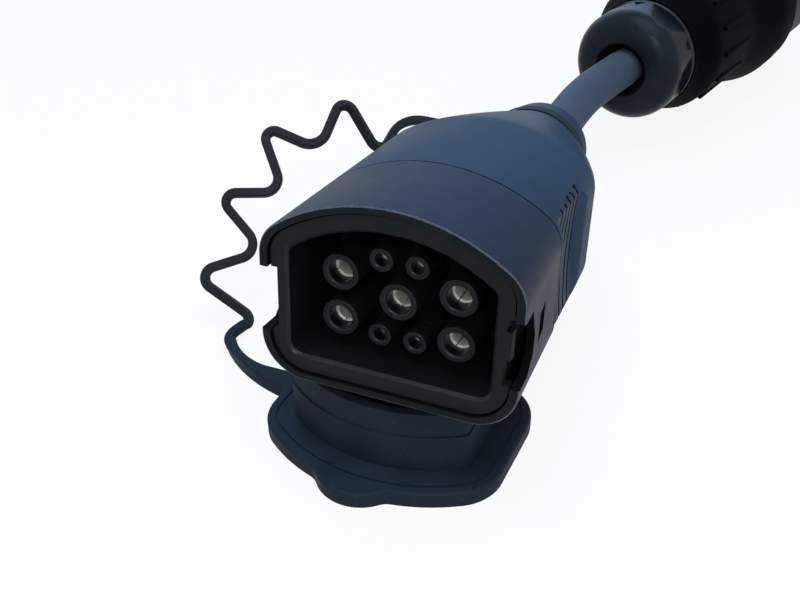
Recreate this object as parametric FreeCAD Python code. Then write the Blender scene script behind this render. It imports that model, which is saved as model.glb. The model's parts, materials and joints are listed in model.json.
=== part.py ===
import FreeCAD, Part
import math
import os

from FreeCAD import Placement, Rotation, Vector

# Electric vehicle charging adapter: a D-shaped coupler, a short lead and a five-pin plug.
# The coupler's front rests on its dust cap, which lies on the floor with its plug up.
# All sizes are in millimetres. Origin: middle of the cap's flat face, on the floor. +Z up.
# The coupler, the cap and the plug are each drawn in axes of their own and set down at the end.
os.makedirs("parts", exist_ok=True)

# How the three ends lie
coupler_pitch = 6.4
coupler_yaw = 0.8
coupler_height = 51.96
coupler_right = 5.1
coupler_front = 17.2
cap_turn = 3.4
plug_yaw = 15.3
plug_right = 24.3
plug_back = 213.0

# Hood: the D-shaped front shell of the coupler
hood_half_width = 34.25
hood_apex = 28.1
hood_arch_radius = 51.3
hood_top_corner = 10.6
hood_bottom = 24.9
hood_bottom_corner = 12.2
hood_wall = 2.0
lip_swell = 0.45
side_draft = 2.0
top_draft = 1.4
hood_length = 33.8
hood_ledge = 2.5
lip_round = 0.6
piece_gap = 0.3

# Side notch in the lip and the latch window behind it
notch_top = 6.2
notch_bottom = 12.0
notch_depth = 11.2
notch_lean = 4.2
window_front = 15.6
window_length = 4.6
window_top = 2.6
window_bottom = 7.4
window_lean = 1.6

# Socket insert: rim, cavity and sleeves
insert_setback = 0.9
rim_gap = 0.55
rim_width = 4.65
rim_depth = 3.0
cavity_depth = 31.0
cavity_wall = 2.2
cavity_top_corner = 2.4
cavity_bottom_corner = 3.4
floor_thickness = 2.8
collar_depth = 4.0
sleeve_setback = 7.4
rim_chamfer = 0.8

# Contacts
power_spread = 15.76
power_drop = 1.65
power_rise = 6.52
power_sleeve_radius = 5.0
power_contact_radius = 3.1
power_bore_radius = 2.5
power_bore_depth = 20.0
power_recess = 4.1
power_slot = 0.3
power_slot_length = 12.0
power_tail = 9.0
power_tail_radius = 2.6
signal_spread = 4.79
signal_rise = 10.62
signal_sleeve_radius = 3.15
signal_contact_radius = 1.5
signal_bore_radius = 1.0
signal_bore_depth = 13.0
signal_recess = 4.1
sleeve_lead = 0.8
sleeve_round = 0.3
sleeve_gap = 0.1
signal_tail = 5.5
signal_tail_radius = 0.8
contact_collar = 1.0
fit_gap = 0.05

# Retainer, circuit board and their screws
retainer_thickness = 2.6
retainer_screw_edge = 1.2
retainer_screw_rise = 5.5
retainer_screw_radius = 1.2
retainer_head_radius = 2.4
retainer_head_height = 1.8
retainer_screw_length = 4.0
board_thickness = 1.6
board_width = 16.0
board_height = 27.0
board_slot_radius = 3.6
board_back = 3.2

# Rear cover
seam_gap = 0.5
seam_recess = 0.9
cover_wall = 2.4
cover_straight = 76.0
cover_end = 123.0
cover_taper = 1.12
cover_stations = 9
neck_drop = 3.2
neck_radius = 17.6
neck_arch = 18.0
neck_corner = 16.0
grip_depth = 4.1
grip_front = 35.4
grip_flat_end = 60.0
grip_rise = 2.0
grip_rise_end = 65.0
grip_end = 74.0
grip_scoop_radius = 160.0
groove_count = 5
groove_first = 42.4
groove_pitch = 4.1
groove_width = 1.1
groove_depth = 0.9
cover_screw_side = 13.0
cover_screw_back = 37.4
cover_screw_lug = 6.0
cover_screw_lug_height = 7.0
cover_screw_radius = 1.1
cover_screw_head = 2.2
cover_screw_length = 6.0

# Strain relief, cap ring and cable
cable_radius = 7.4
cable_gap = 0.25
relief_core_radius = 12.6
relief_flange_radius = 14.8
relief_flange = 2.4
relief_ring_count = 3
relief_ring = 2.7
relief_groove = 1.0
relief_groove_depth = 1.8
relief_taper = 0.7
cap_ring_space = 3.9
cable_start = 96.0
cable_bend = 155.0
cable_lead_in = 30.0
cable_in_plug = 20.0
clamp_back = 103.0
clamp_width = 9.0
clamp_thickness = 3.4
clamp_screw_side = 11.2
clamp_screw_radius = 1.5
clamp_screw_head = 2.7
clamp_edge = 3.4
clamp_base = 21.5

# Cores inside the two housings
core_radius = 1.9
core_ring = 3.9
core_bend = 9.0

# Dust cap: flange, plug, pull tab and strap in one moulding
cap_flange = 4.6
cap_flange_edge = 8.6
cap_flange_corner = 14.0
cap_plug_gap = 0.6
cap_plug_height = 18.4
cap_plug_wall = 2.4
cap_cup_floor = 3.0
cap_step_height = 11.6
cap_step_inset = 0.5
cap_plug_inset = 1.3
cap_groove_edge = 5.7
cap_groove_width = 0.8
cap_groove_depth = 0.5
cap_tab_reach = 4.2
cap_tab_radius = 13.0
cap_tab_side = 0.6
cap_tab_blend = 5.0
cap_edge_round = 0.9
strap_side = 2.9
strap_corner = 0.6
strap_share = 0.4
strap_ring_turn = 158
cap_ring_gap = 0.15
cap_ring_radius = 18.0
cap_ring_hole = 12.9

# Plug: gland, body, shroud, carrier and pins, measured along the plug from the nut's back face
plug_rest_radius = 35.0
nut_radius = 22.4
nut_length = 21.5
nut_round = 8.5
nut_mouth_radius = 10.0
nut_mouth_round = 2.4
nut_throat_radius = 8.0
nut_funnel = 7.0
nut_thread_radius = 18.0
nut_thread_length = 12.0
nut_flute_count = 5
nut_flute_turn = 61
nut_flute_radius = 60.0
nut_flute_depth = 2.6
nut_flute_start = 5.5
nut_ring = 2.6
nut_ring_round = 0.8
nut_pocket_length = 4.6
nut_pocket_width = 5.0
nut_pocket_depth = 0.8
gland_cage_flange = 3.0
gland_cage_radius = 13.7
gland_cage_bore = 10.2
gland_cage_back = 6.0
gland_cage_slots = 6
gland_cage_slot = 1.2
gland_seal_front = 2.0
spigot_bore = 14.0
collar_radius = 22.9
collar_length = 2.0
shoulder_radius = 28.0
shoulder_end = 12.0
grip_mid_radius = 29.0
plug_end = 78.0
plug_rim_length = 10.0
plug_flare_length = 22.0
plug_wall = 2.8
plug_rib_count = 16
plug_rib_radius = 1.0
plug_rib_margin = 5.0
carrier_set_in = 14.0
carrier_radius = 28.4
carrier_thickness = 12.5
carrier_seat = 26.0
shroud_set_in = 6.0
shroud_radius = 31.5
shroud_wall = 2.6
shroud_length = 46.0
shroud_ledge = 2.0
shroud_key_width = 7.0
shroud_key_height = 2.6
pin_circle = 15.5
pin_radius = 3.0
earth_radius = 4.0
pin_length = 37.5
pin_tail = 10.0
pin_shank = 0.5
pin_collar = 1.2
pin_collar_length = 2.0
pin_round = 1.2
terminal_radius = 1.6
terminal_length = 3.4
terminal_depth = 2.4
shroud_screw_count = 3
shroud_screw_radius = 1.4
shroud_screw_head = 2.6
shroud_screw_length = 5.0
shroud_screw_back = 3.0


def arc(start, middle, end):
    return Part.Arc(Vector(*start), Vector(*middle), Vector(*end)).toShape()


def line(start, end):
    return Part.LineSegment(Vector(*start), Vector(*end)).toShape()


# D-shaped outline across the coupler's axis: flat below, arched above, at a given depth
def d_wire(half_width, apex, arch, top_corner, bottom, bottom_corner, back=0.0):
    arch_centre = apex - arch
    top_x = half_width - top_corner
    top_z = arch_centre + math.sqrt((arch - top_corner) ** 2 - top_x ** 2)
    lean = math.atan2(top_z - arch_centre, top_x)
    meet = (arch * math.cos(lean), arch_centre + arch * math.sin(lean))
    half = lean / 2
    top_mid = (top_x + top_corner * math.cos(half), top_z + top_corner * math.sin(half))
    low_x = half_width - bottom_corner
    low_z = bottom_corner - bottom
    slant = bottom_corner * math.sqrt(0.5)
    edges = []
    edges.append(arc((-meet[0], back, meet[1]), (0, back, apex), (meet[0], back, meet[1])))
    edges.append(arc((meet[0], back, meet[1]), (top_mid[0], back, top_mid[1]), (half_width, back, top_z)))
    edges.append(line((half_width, back, top_z), (half_width, back, low_z)))
    low_mid = (low_x + slant, back, low_z - slant)
    edges.append(arc((half_width, back, low_z), low_mid, (low_x, back, -bottom)))
    edges.append(line((low_x, back, -bottom), (-low_x, back, -bottom)))
    low_mid = (-low_x - slant, back, low_z - slant)
    edges.append(arc((-low_x, back, -bottom), low_mid, (-half_width, back, low_z)))
    edges.append(line((-half_width, back, low_z), (-half_width, back, top_z)))
    edges.append(arc((-half_width, back, top_z), (-top_mid[0], back, top_mid[1]), (-meet[0], back, meet[1])))
    return Part.Wire(edges)


# The hood's outline drawn in by an even amount
def hood_wire(inset, back=0.0):
    least = 1.0
    top_corner = max(hood_top_corner - inset, least)
    bottom_corner = max(hood_bottom_corner - inset, least)
    width = hood_half_width - inset
    arch = hood_arch_radius - inset
    return d_wire(width, hood_apex - inset, arch, top_corner, hood_bottom - inset, bottom_corner, back)


def block_along(wire, depth):
    return Part.Face(wire).extrude(Vector(0, depth, 0))


def hood_block(inset, start, end):
    return block_along(hood_wire(inset, start), end - start)


# Half width and apex of the outer shell, whose sides and top close in a little towards the back
def shell_width(back):
    return hood_half_width + lip_swell - back * math.tan(math.radians(side_draft))


def shell_apex(back):
    return hood_apex - back * math.tan(math.radians(top_draft))


def shell_wire(inset, back):
    width = shell_width(back) - inset
    apex = shell_apex(back) - inset
    arch = hood_arch_radius - inset
    top_corner = hood_top_corner - inset
    bottom_corner = hood_bottom_corner - inset
    return d_wire(width, apex, arch, top_corner, hood_bottom - inset, bottom_corner, back)


# The insert's opening and its cavity: sharper corners than the hood has
cavity_inset = hood_wall + rim_gap + rim_width


def cavity_wire(inset, back):
    least = 0.8
    width = hood_half_width - cavity_inset - inset
    apex = hood_apex - cavity_inset - inset
    arch = hood_arch_radius - cavity_inset - inset
    bottom = hood_bottom - cavity_inset - inset
    top_corner = max(cavity_top_corner - inset, least)
    bottom_corner = max(cavity_bottom_corner - inset, least)
    return d_wire(width, apex, arch, top_corner, bottom, bottom_corner, back)


def cavity_block(inset, start, end):
    return block_along(cavity_wire(inset, start), end - start)


def rod(radius, start, length, x=0.0, z=0.0):
    return Part.makeCylinder(radius, length, Vector(x, start, z), Vector(0, 1, 0))


def cone(start_radius, end_radius, start, length, x=0.0, z=0.0):
    return Part.makeCone(start_radius, end_radius, length, Vector(x, start, z), Vector(0, 1, 0))


# A line of straight runs joined by tangent arcs
def bent_line(points, share, name):
    points = [Vector(*p) for p in points]
    edges = []
    start = points[0]
    for before, corner, after in zip(points, points[1:], points[2:]):
        back = (before - corner).normalize()
        ahead = (after - corner).normalize()
        half_turn = (math.pi - back.getAngle(ahead)) / 2
        reach = share * min((before - corner).Length, (after - corner).Length)
        bend = reach / math.tan(half_turn)
        middle_way = (back + ahead).normalize()
        middle = corner + middle_way * (bend / math.cos(half_turn) - bend)
        first = corner + back * reach
        last = corner + ahead * reach
        edges.append(Part.LineSegment(start, first).toShape())
        edges.append(Part.Arc(first, middle, last).toShape())
        print(name, "bend radius", round(bend, 1))
        start = last
    edges.append(Part.LineSegment(start, points[-1]).toShape())
    return Part.Wire(edges)


# A cord of round section along such a line
def tube(points, radius, name, share=0.45):
    path = bent_line(points, share, name)
    ahead = Vector(*points[1]) - Vector(*points[0])
    circle = Part.Wire(Part.Circle(Vector(*points[0]), ahead, radius).toShape())
    solid = path.makePipeShell([circle], True, False)
    section = math.pi * radius ** 2 * path.Length
    print(name, "length", round(path.Length, 1), "volume share", round(solid.Volume / section, 4))
    return solid


pieces = {}


def keep(name, shape, place):
    placed = shape.copy()
    placed.Placement = place.multiply(placed.Placement)
    pieces[name] = placed


# Where each end is set down
coupler_turn = Rotation(Vector(0, 0, 1), -coupler_yaw).multiply(Rotation(Vector(1, 0, 0), -coupler_pitch))
coupler_place = Placement(Vector(coupler_right, -coupler_front, coupler_height), coupler_turn)
cap_place = Placement(Vector(0, 0, 0), Rotation(Vector(0, 0, 1), 180 - cap_turn))
plug_place = Placement(Vector(plug_right, plug_back, plug_rest_radius), Rotation(Vector(0, 0, 1), -plug_yaw))

power_spots = {
    "upper_left": (-power_spread, power_rise - power_drop),
    "lower_left": (-power_spread, -power_rise - power_drop),
    "centre": (0.0, 0.0),
    "upper_right": (power_spread, power_rise - power_drop),
    "lower_right": (power_spread, -power_rise - power_drop),
}
signal_spots = {
    "upper_left": (-signal_spread, signal_rise),
    "upper_right": (signal_spread, signal_rise),
    "lower_left": (-signal_spread, -signal_rise),
    "lower_right": (signal_spread, -signal_rise),
}
# Angle of each power contact's slot from the coupler's +X
slot_turns = {"upper_left": 28, "lower_left": 85, "centre": 85, "upper_right": 65, "lower_right": 66}
floor_front = cavity_depth
insert_end = hood_length
seam_inset = cover_wall + fit_gap
grip_core_face = hood_half_width - grip_depth - cover_wall


# Front hood with its rear ledge, side notches and latch windows
def front_hood():
    hood = Part.makeLoft([shell_wire(0, 0), shell_wire(0, hood_length)], True, True)
    lip_edges = [e for e in hood.Edges if e.BoundBox.YMax < 0.01]
    hood = hood.makeFillet(lip_round, lip_edges)
    hood = hood.cut(hood_block(hood_wall, -1, hood_length - hood_ledge))
    hood = hood.cut(hood_block(cavity_inset - cavity_wall - piece_gap, 0, hood_length + 1))
    for side in (-1, 1):
        hood = hood.cut(side_notch(side))
        hood = hood.cut(latch_window(side))
    return hood


def side_prism(side, outline, inner, outer):
    corners = [Vector(side * inner, y, z) for y, z in outline]
    face = Part.Face(Part.makePolygon(corners + corners[:1]))
    return face.extrude(Vector(side * (outer - inner), 0, 0))


def side_notch(side):
    deep = notch_depth
    lean = notch_lean
    outline = [(-1, notch_top), (deep - lean, notch_top), (deep, notch_top - 2 * lean)]
    outline += [(deep, lean - notch_bottom), (deep - lean, -notch_bottom), (-1, -notch_bottom)]
    inner = hood_half_width - hood_wall - rim_gap / 2
    return side_prism(side, outline, inner, hood_half_width + 1)


def latch_window(side):
    front = window_front
    back = window_front + window_length
    outline = [(front, window_top - window_lean), (back, window_top)]
    outline += [(back, window_lean - window_bottom), (front, -window_bottom)]
    inner = hood_half_width - hood_wall - rim_gap / 2
    return side_prism(side, outline, inner, hood_half_width + 1)


# Socket insert: rim, cavity tube, floor, seating collar and nine sleeves, in one moulding
def socket_insert():
    rim_inset = hood_wall + rim_gap
    front = insert_setback
    insert = hood_block(rim_inset, front, front + rim_depth)
    tube_inset = cavity_inset - cavity_wall
    insert = insert.fuse(hood_block(tube_inset, front, insert_end))
    ledge = hood_length - hood_ledge
    insert = insert.fuse(hood_block(rim_inset, ledge - collar_depth, ledge))
    cavity = cavity_block(0, front - 1, floor_front)
    insert = insert.cut(cavity)
    insert = insert.cut(rim_bevel(front))
    for side in (-1, 1):
        insert = insert.cut(rim_pocket(side))
    bosses = []
    for x, z in power_spots.values():
        bosses.append(rod(power_sleeve_radius, sleeve_setback, floor_front - sleeve_setback + 1, x, z))
    for x, z in signal_spots.values():
        bosses.append(rod(signal_sleeve_radius, sleeve_setback, floor_front - sleeve_setback + 1, x, z))
    insert = insert.fuse(bosses)
    bores = []
    for x, z in power_spots.values():
        bores += contact_bore(x, z, power_contact_radius)
    for x, z in signal_spots.values():
        bores += contact_bore(x, z, signal_contact_radius)
    for x, z in retainer_screw_spots():
        tip = insert_end + retainer_thickness - retainer_screw_length
        bores.append(rod(retainer_screw_radius + fit_gap, tip - fit_gap, retainer_screw_length, x, z))
    insert = insert.cut(bores).removeSplitter()
    mouths = [e for e in insert.Edges if round_at(e, sleeve_setback)]
    outer = [e for e in mouths if e.Curve.Radius in (power_sleeve_radius, signal_sleeve_radius)]
    inner = [e for e in mouths if e.Curve.Radius < signal_contact_radius + 2 * sleeve_gap]
    inner += [e for e in mouths if abs(e.Curve.Radius - power_contact_radius - sleeve_gap) < 0.01]
    print("sleeve mouths", len(inner), "rims", len(outer))
    insert = insert.makeFillet(sleeve_lead, inner)
    mouths = [e for e in insert.Edges if round_at(e, sleeve_setback)]
    outer = [e for e in mouths if abs(e.Curve.Radius - power_sleeve_radius) < 0.01]
    outer += [e for e in mouths if abs(e.Curve.Radius - signal_sleeve_radius) < 0.01]
    return insert.makeFillet(sleeve_round, outer)


def round_at(edge, back):
    box = edge.BoundBox
    return box.YLength < 0.01 and abs(box.YMin - back) < 0.01 and hasattr(edge.Curve, "Radius")


# Sleeve bore, and the contact collar's seat in the floor behind
def contact_bore(x, z, radius):
    seat = radius + sleeve_gap
    cuts = [rod(seat, sleeve_setback - 1, insert_end, x, z)]
    collar_seat = radius + contact_collar + fit_gap
    cuts.append(rod(collar_seat, floor_front + floor_thickness / 2, insert_end, x, z))
    return cuts


def rim_bevel(front):
    outer = cavity_wire(-rim_chamfer, front)
    inner = cavity_wire(0, front + rim_chamfer)
    return Part.makeLoft([outer, inner], True, True)


# Shallow pocket in the rim beside each notch of the hood, with a ridge in the right one
def rim_pocket(side):
    rim_outer = hood_half_width - hood_wall - rim_gap
    deep = notch_depth
    outline = [(-1, notch_top), (deep, notch_top), (deep, -notch_bottom), (-1, -notch_bottom)]
    pocket = side_prism(side, outline, rim_outer - 1.7, rim_outer + 1)
    if side < 0:
        return pocket
    high = notch_top - 3.4
    low = 7.0 - notch_bottom
    ridge = [(-2, high), (deep + 1, high), (deep + 1, low), (-2, low)]
    return pocket.cut(side_prism(side, ridge, 0, rim_outer - 0.2))


# Socket contact with a collar seated in the floor and a crimp barrel behind
def socket_contact(x, z, radius, bore, depth, recess, tail_radius, tail):
    front = sleeve_setback + recess
    seat = floor_front + floor_thickness / 2
    contact = rod(radius, front, seat - front, x, z)
    contact = contact.fuse(rod(radius + contact_collar, seat, insert_end - seat, x, z))
    contact = contact.fuse(rod(tail_radius, insert_end, retainer_thickness + tail, x, z))
    contact = contact.cut(rod(bore, front - 1, depth + 1, x, z))
    return contact.cut(cone(bore + 0.2, bore, front, 0.3, x, z))


# A power contact is split by a slot right across it, turned differently in each
def power_contact(spot):
    x, z = power_spots[spot]
    contact = socket_contact(x, z, power_contact_radius, power_bore_radius, power_bore_depth,
                             power_recess, power_tail_radius, power_tail)
    front = sleeve_setback + power_recess
    gap = Part.makeBox(power_slot, power_slot_length + 1, 2 * power_contact_radius + 2)
    gap.translate(Vector(-power_slot / 2, front - 1, -power_contact_radius - 1))
    gap.rotate(Vector(0, 0, 0), Vector(0, 1, 0), 90 - slot_turns[spot])
    gap.translate(Vector(x, 0, z))
    return contact.cut(gap)


def signal_contact(spot):
    x, z = signal_spots[spot]
    return socket_contact(x, z, signal_contact_radius, signal_bore_radius, signal_bore_depth,
                          signal_recess, signal_tail_radius, signal_tail)


def retainer_screw_spots():
    side = grip_core_face - retainer_head_radius - retainer_screw_edge
    spots = [(side, retainer_screw_rise), (-side, retainer_screw_rise)]
    spots += [(side, -hood_bottom / 2), (-side, -hood_bottom / 2)]
    return spots


# Plate behind the insert that holds the contacts and clamps the hood's ledge
def contact_retainer():
    back = insert_end
    outline = shell_wire(cover_wall + piece_gap, back + retainer_thickness)
    plate = block_along(outline, -retainer_thickness)
    side = grip_core_face - piece_gap
    middle = Part.makeBox(2 * side, retainer_thickness + 2, 3 * hood_apex)
    middle.translate(Vector(-side, back - 1, -1.5 * hood_apex))
    plate = plate.common(middle)
    lug_back = cover_screw_back + cover_screw_lug / 2
    for x in (-cover_screw_side, cover_screw_side):
        corner = Vector(x - cover_screw_lug / 2, back, seam_inset - hood_bottom)
        plate = plate.fuse(Part.makeBox(cover_screw_lug, lug_back - back, cover_screw_lug_height, corner))
    cuts = []
    for x, z in power_spots.values():
        cuts.append(rod(power_tail_radius + fit_gap, back - 1, retainer_thickness + 2, x, z))
    for x, z in signal_spots.values():
        cuts.append(rod(signal_tail_radius + fit_gap, back - 1, retainer_thickness + 2, x, z))
    for x, z in retainer_screw_spots():
        cuts.append(rod(retainer_screw_radius + fit_gap, back - 1, retainer_thickness + 2, x, z))
    for x in (-cover_screw_side, cover_screw_side):
        cuts.append(cover_screw_bore(x))
    return plate.cut(cuts)


def retainer_screws():
    screws = []
    back = insert_end + retainer_thickness
    for x, z in retainer_screw_spots():
        shank = rod(retainer_screw_radius, back - retainer_screw_length, retainer_screw_length, x, z)
        head = rod(retainer_head_radius, back, retainer_head_height, x, z)
        drive = rod(retainer_head_radius / 2, back + retainer_head_height / 2, retainer_head_height, x, z)
        screws.append(shank.fuse(head).cut(drive))
    return Part.makeCompound(screws)


# Small board that codes the adapter's rating, soldered to the four signal tails
def coding_board():
    front = insert_end + retainer_thickness + board_back
    board = Part.makeBox(board_width, board_thickness, board_height)
    board.translate(Vector(-board_width / 2, front, -board_height / 2))
    board = board.cut(rod(board_slot_radius, front - 1, board_thickness + 2))
    for x, z in signal_spots.values():
        board = board.cut(rod(signal_tail_radius + fit_gap, front - 1, board_thickness + 2, x, z))
    chip = Part.makeBox(5, 1.2, 3.4, Vector(-2.5, front + board_thickness, signal_rise - 5.5))
    resistor = Part.makeBox(3.2, 0.9, 1.6, Vector(-1.6, front + board_thickness, 3.4 - signal_rise))
    return board.fuse([chip, resistor]).removeSplitter()


# Flat seal that shows as the dark line between hood and cover
def housing_seal():
    ring = block_along(shell_wire(seam_recess, hood_length), seam_gap)
    return ring.cut(block_along(shell_wire(cover_wall, hood_length), seam_gap))


cover_front = hood_length + seam_gap


# Outline of the cover at a given depth: the hood's outline, passing to a round neck behind
def cover_wire(inset, back):
    along = max(0.0, (back - cover_straight) / (cover_end - cover_straight))
    share = along ** cover_taper

    def pass_over(hood_size, neck_size):
        return hood_size + (neck_size - hood_size) * share - inset

    before = min(back, cover_straight)
    width = pass_over(shell_width(before), neck_radius)
    apex = pass_over(shell_apex(before), neck_radius - neck_drop)
    arch = pass_over(hood_arch_radius, neck_arch)
    bottom = pass_over(hood_bottom, neck_radius + neck_drop)
    top_corner = pass_over(hood_top_corner, neck_corner)
    bottom_corner = pass_over(hood_bottom_corner, neck_corner)
    return d_wire(width, apex, arch, top_corner, bottom, bottom_corner, back)


# The cover's form, or the space inside it when drawn in by the wall
def cover_form(inset, end):
    straight = Part.makeLoft([cover_wire(inset, cover_front), cover_wire(inset, cover_straight)], True, True)
    step = (end - cover_straight) / cover_stations
    stations = [cover_straight + n * step for n in range(cover_stations + 1)]
    taper = Part.makeLoft([cover_wire(inset, back) for back in stations], True, False)
    return straight.fuse(taper)


# Rear cover with its grips, the cable's saddle and the holes for its screws
def rear_cover():
    cover = cover_form(0, cover_end)
    for side in (-1, 1):
        cover = cover.cut(grip_recess(side))
    hollow = cover_form(cover_wall, cover_end - relief_flange)
    for side in (-1, 1):
        hollow = hollow.cut(grip_core(side))
    cover = cover.cut(hollow)
    cover = cover.fuse(cable_saddle())
    neck_hole = relief_core_radius + fit_gap
    cuts = [rod(neck_hole, cover_end - relief_flange - 1, relief_flange + 2, 0, -neck_drop)]
    cuts += [cover_screw_bore(x) for x in (-cover_screw_side, cover_screw_side)]
    return cover.cut(cuts)


# Finger grip on each side: a scooped face that slopes out again behind, with upright grooves
def grip_prism(side, outline):
    tall = 2 * hood_apex
    corners = [Vector(side * x, y, -hood_apex) for x, y in outline]
    return Part.Face(Part.makePolygon(corners + corners[:1])).extrude(Vector(0, 0, tall))


def grip_recess(side):
    face = hood_half_width - grip_depth
    outside = hood_half_width + 2
    outline = [(outside, grip_front), (face, grip_front + 1.2), (face, grip_flat_end)]
    outline += [(face + grip_rise, grip_rise_end), (shell_width(grip_end), grip_end), (outside, grip_end)]
    recess = grip_prism(side, outline).common(grip_scoop(side, 0))
    scoop = grip_scoop(side, groove_depth)
    for n in range(groove_count):
        front = groove_first + n * groove_pitch - groove_width / 2
        back = front + groove_width
        deep = face - groove_depth
        groove = [(outside, front), (deep, front), (deep, back), (outside, back)]
        recess = recess.fuse(grip_prism(side, groove).common(scoop))
    return recess


# Long hollow curve that runs the grip and its grooves out above and below
def grip_scoop(side, deeper):
    middle = hood_half_width - grip_depth + grip_scoop_radius
    return rod(grip_scoop_radius + deeper, cover_front, grip_end, side * middle)


# Wall behind the grip, which the hollow leaves standing
def grip_core(side):
    face = grip_core_face
    outside = hood_half_width + 2
    front = cover_front - 1
    return grip_prism(side, [(outside, front), (face, front), (face, grip_flat_end), (outside, grip_end + 2)])


def cover_screw_bore(x):
    start = Vector(x, cover_screw_back, -hood_bottom - 1)
    bore = Part.makeCylinder(cover_screw_radius + fit_gap, cover_screw_length + 1.2, start, Vector(0, 0, 1))
    head = Part.makeCylinder(cover_screw_head + fit_gap, cover_wall / 2 + 1, start, Vector(0, 0, 1))
    return bore.fuse(head)


def cover_screws():
    screws = []
    for x in (-cover_screw_side, cover_screw_side):
        start = Vector(x, cover_screw_back, -hood_bottom)
        shank = Part.makeCylinder(cover_screw_radius, cover_screw_length, start, Vector(0, 0, 1))
        head = Part.makeCylinder(cover_screw_head, cover_wall / 2, start, Vector(0, 0, 1))
        drive = Part.makeCylinder(cover_screw_head / 2, cover_wall / 4, start, Vector(0, 0, 1))
        screws.append(shank.fuse(head).cut(drive))
    return Part.makeCompound(screws)


relief_rings_start = cover_end + cap_ring_space
relief_end = relief_rings_start + relief_ring_count * (relief_ring + relief_groove)


# Soft ribbed sleeve round the cable, with a flange inside the cover
def strain_relief():
    z = -neck_drop
    start = cover_end - 2 * relief_flange
    relief = rod(relief_flange_radius, start, relief_flange, 0, z)
    relief = relief.fuse(rod(relief_core_radius, start, relief_end - start, 0, z))
    for n in range(relief_ring_count):
        back = relief_rings_start + relief_groove + n * (relief_ring + relief_groove)
        outer = neck_radius - n * relief_taper
        ring = cone(outer, outer - relief_taper / 2, back, relief_ring, 0, z)
        relief = relief.fuse(ring)
        neck = outer - relief_groove_depth
        relief = relief.fuse(rod(neck, back - relief_groove, relief_groove, 0, z))
    return relief.cut(rod(cable_radius + cable_gap, start - 1, relief_end, 0, z))


def rod_up(radius, x, back, start, length):
    return Part.makeCylinder(radius, length, Vector(x, back, start), Vector(0, 0, 1))


# Saddle inside the cover that the cable lies in, with the clamp's two screw holes
def cable_saddle():
    half = clamp_screw_side + clamp_edge
    front = clamp_back - clamp_width / 2
    saddle = Part.makeBox(2 * half, clamp_width, clamp_base - neck_drop, Vector(-half, front, -clamp_base))
    saddle = saddle.cut(rod(cable_radius + fit_gap, front - 1, clamp_width + 2, 0, -neck_drop))
    for x in (-clamp_screw_side, clamp_screw_side):
        bottom = -neck_drop - cable_radius
        saddle = saddle.cut(rod_up(clamp_screw_radius + fit_gap, x, clamp_back, bottom, 2 * cable_radius))
    return saddle


clamp_bottom = piece_gap - neck_drop
clamp_top = cable_radius + clamp_thickness - neck_drop


def cable_clamp():
    half = clamp_screw_side + clamp_edge
    front = clamp_back - clamp_width / 2
    bar = Part.makeBox(2 * half, clamp_width, clamp_top - clamp_bottom, Vector(-half, front, clamp_bottom))
    bar = bar.cut(rod(cable_radius + fit_gap, front - 1, clamp_width + 2, 0, -neck_drop))
    for x in (-clamp_screw_side, clamp_screw_side):
        bar = bar.cut(rod_up(clamp_screw_radius + fit_gap, x, clamp_back, clamp_bottom - 1, 2 * clamp_top))
    return bar


def clamp_screws():
    screws = []
    for x in (-clamp_screw_side, clamp_screw_side):
        bottom = clamp_bottom - cable_radius
        shank = rod_up(clamp_screw_radius, x, clamp_back, bottom, clamp_top - bottom)
        head = rod_up(clamp_screw_head, x, clamp_back, clamp_top, 2)
        drive = rod_up(clamp_screw_head / 2, x, clamp_back, clamp_top + 1, 2)
        screws.append(shank.fuse(head).cut(drive))
    return Part.makeCompound(screws)


# Where the five cores sit in the cable's end
def core_spot(n):
    turn = math.radians(90 - 72 * n)
    return (core_ring * math.cos(turn), core_ring * math.sin(turn))


# Cable from inside the cover to inside the plug, with one easy bend between them
def cable():
    start = coupler_place.multVec(Vector(0, cable_start, -neck_drop))
    bend = coupler_place.multVec(Vector(0, cable_bend, -neck_drop))
    lead_in = plug_place.multVec(Vector(0, -nut_length - cable_lead_in, 0))
    end = plug_place.multVec(Vector(0, cable_in_plug, 0))
    return tube([start, bend, lead_in, end], cable_radius, "cable")


# Cores from the crimp barrels to the cable
def coupler_wires():
    front = insert_end + retainer_thickness + power_tail
    order = ["centre", "upper_right", "lower_right", "lower_left", "upper_left"]
    cores = []
    for n, spot in enumerate(order):
        x, z = power_spots[spot]
        core_x, core_z = core_spot(n)
        core_z -= neck_drop
        points = [(x, front, z), (x, front + core_bend, z)]
        points += [(core_x, cable_start - core_bend, core_z), (core_x, cable_start, core_z)]
        cores.append(tube(points, core_radius, "core to " + spot))
    return Part.makeCompound(cores)


def lay_flat(shape):
    laid = shape.copy()
    laid.rotate(Vector(0, 0, 0), Vector(1, 0, 0), -90)
    return laid


# Outline of the cap's flange at a given distance outside its plug
def flange_wire(out, back):
    inset = cavity_inset + cap_plug_gap - out
    corner = cap_flange_corner - cap_flange_edge + out
    width = hood_half_width - inset
    arch = hood_arch_radius - inset
    return d_wire(width, hood_apex - inset, arch, corner, hood_bottom - inset, corner, back)


flange_left = cavity_inset + cap_plug_gap - cap_flange_edge - hood_half_width
# Corners of the strap's waves from the flange's left edge, the first on the floor
strap_run = [
    (-20.5, 9.6, 2.3), (-29.9, 15.9, 2.9), (-24.9, 28.5, 4.5), (-49.6, 25.3, 19.4), (-24.7, 40.3, 20.8),
    (-49.3, 44.8, 38.2), (-24.1, 55.5, 34.3), (-40.9, 66, 56.4), (-19.1, 68.2, 43.5), (-18.9, 86.1, 62),
    (-5.9, 84, 38.6), (-4.1, 103, 44.7),
]


# The way the strap's upper face looks where it leaves the cap
strap_up = Vector(0.25, -0.4, 0.88)


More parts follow.
